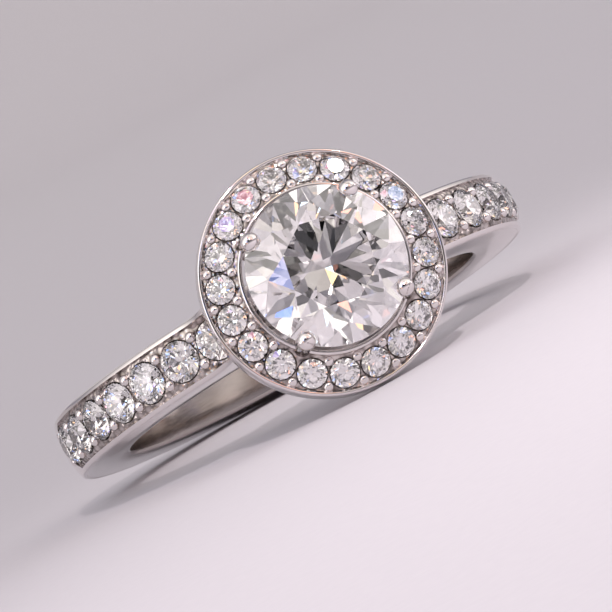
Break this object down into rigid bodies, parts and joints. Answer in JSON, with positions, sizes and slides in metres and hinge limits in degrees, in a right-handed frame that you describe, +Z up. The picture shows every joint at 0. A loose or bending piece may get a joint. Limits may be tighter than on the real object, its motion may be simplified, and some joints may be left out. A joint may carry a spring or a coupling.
{
  "type": "halo ring",
  "caption": "Polished white metal finger ring with a prong-set round brilliant, a sloping round halo of small stones and a pave row down each shoulder, lying on its side.",
  "frame": {"origin": "on the surface that the ring lies on, under the middle of its box", "axes": "+Z up, nearly along the finger hole; -Y towards the side that the centre stone faces; +X across the finger"},
  "size_m": [0.0218, 0.0254, 0.01],
  "materials": {
    "metal": "polished",
    "stone": "polished"
  },
  "bodies": {
    "root": {"ring_mount": "metal", "centre_stone": "stone", "halo_stone_01": "stone", "halo_stone_02": "stone", "halo_stone_03": "stone", "halo_stone_04": "stone", "halo_stone_05": "stone", "halo_stone_06": "stone", "halo_stone_07": "stone", "halo_stone_08": "stone", "halo_stone_09": "stone", "halo_stone_10": "stone", "halo_stone_11": "stone", "halo_stone_12": "stone", "halo_stone_13": "stone", "halo_stone_14": "stone", "halo_stone_15": "stone", "halo_stone_16": "stone", "halo_stone_17": "stone", "halo_stone_18": "stone", "halo_stone_19": "stone", "halo_stone_20": "stone", "shoulder_stone_l1": "stone", "shoulder_stone_l2": "stone", "shoulder_stone_l3": "stone", "shoulder_stone_l4": "stone", "shoulder_stone_l5": "stone", "shoulder_stone_l6": "stone", "shoulder_stone_l7": "stone", "shoulder_stone_r1": "stone", "shoulder_stone_r2": "stone", "shoulder_stone_r3": "stone", "shoulder_stone_r4": "stone", "shoulder_stone_r5": "stone", "shoulder_stone_r6": "stone", "shoulder_stone_r7": "stone"}
  },
  "joints": []
}
